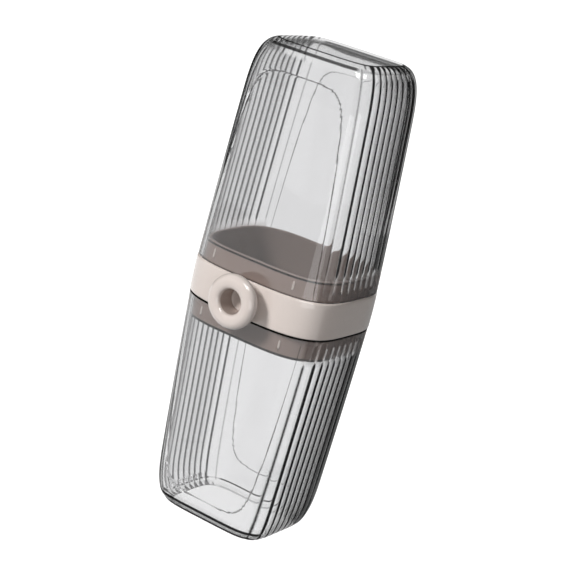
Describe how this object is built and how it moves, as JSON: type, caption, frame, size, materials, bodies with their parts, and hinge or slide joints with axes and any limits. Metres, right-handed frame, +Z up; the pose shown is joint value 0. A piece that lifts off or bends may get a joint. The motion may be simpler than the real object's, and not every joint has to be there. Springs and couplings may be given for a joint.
{
  "type": "toothbrush travel cup case",
  "caption": "Clear ribbed travel case: tapered cups pushed onto a collar sleeve with an outer band and a turning ring knob.",
  "frame": {"origin": "centre of the lower cup's flat base, on the surface that the case stands on", "axes": "+Z up along the case, -Y out of the front face through the ring knob, X across the ribbed narrow sides"},
  "size_m": [0.0698, 0.071, 0.205],
  "materials": {
    "clear_smoke": "clear grey-tinted moulded plastic, polished",
    "taupe_plastic": "satin moulded plastic, warm grey-brown",
    "beige_plastic": "soft satin moulded plastic, pale pinkish beige"
  },
  "bodies": {
    "lower_cup": {"lower_cup": "clear_smoke"},
    "collar": {"inner_sleeve": "taupe_plastic", "band": "beige_plastic"},
    "knob": {"ring_knob": "beige_plastic", "knob_retainer": "taupe_plastic"},
    "upper_cup": {"upper_cup": "clear_smoke"}
  },
  "joints": [
    {"name": "collar_pull", "type": "slide", "parent": "lower_cup", "child": "collar", "axis": [0, 0, 1], "range_m": [0, 0.1]},
    {"name": "upper_cup_pull", "type": "slide", "parent": "collar", "child": "upper_cup", "axis": [0, 0, 1], "range_m": [0, 0.1]},
    {"name": "knob_turn", "type": "hinge", "parent": "collar", "child": "knob", "pos_m": [0, -0.03065, 0.10245], "axis": [0, -1, 0], "continuous": true}
  ]
}
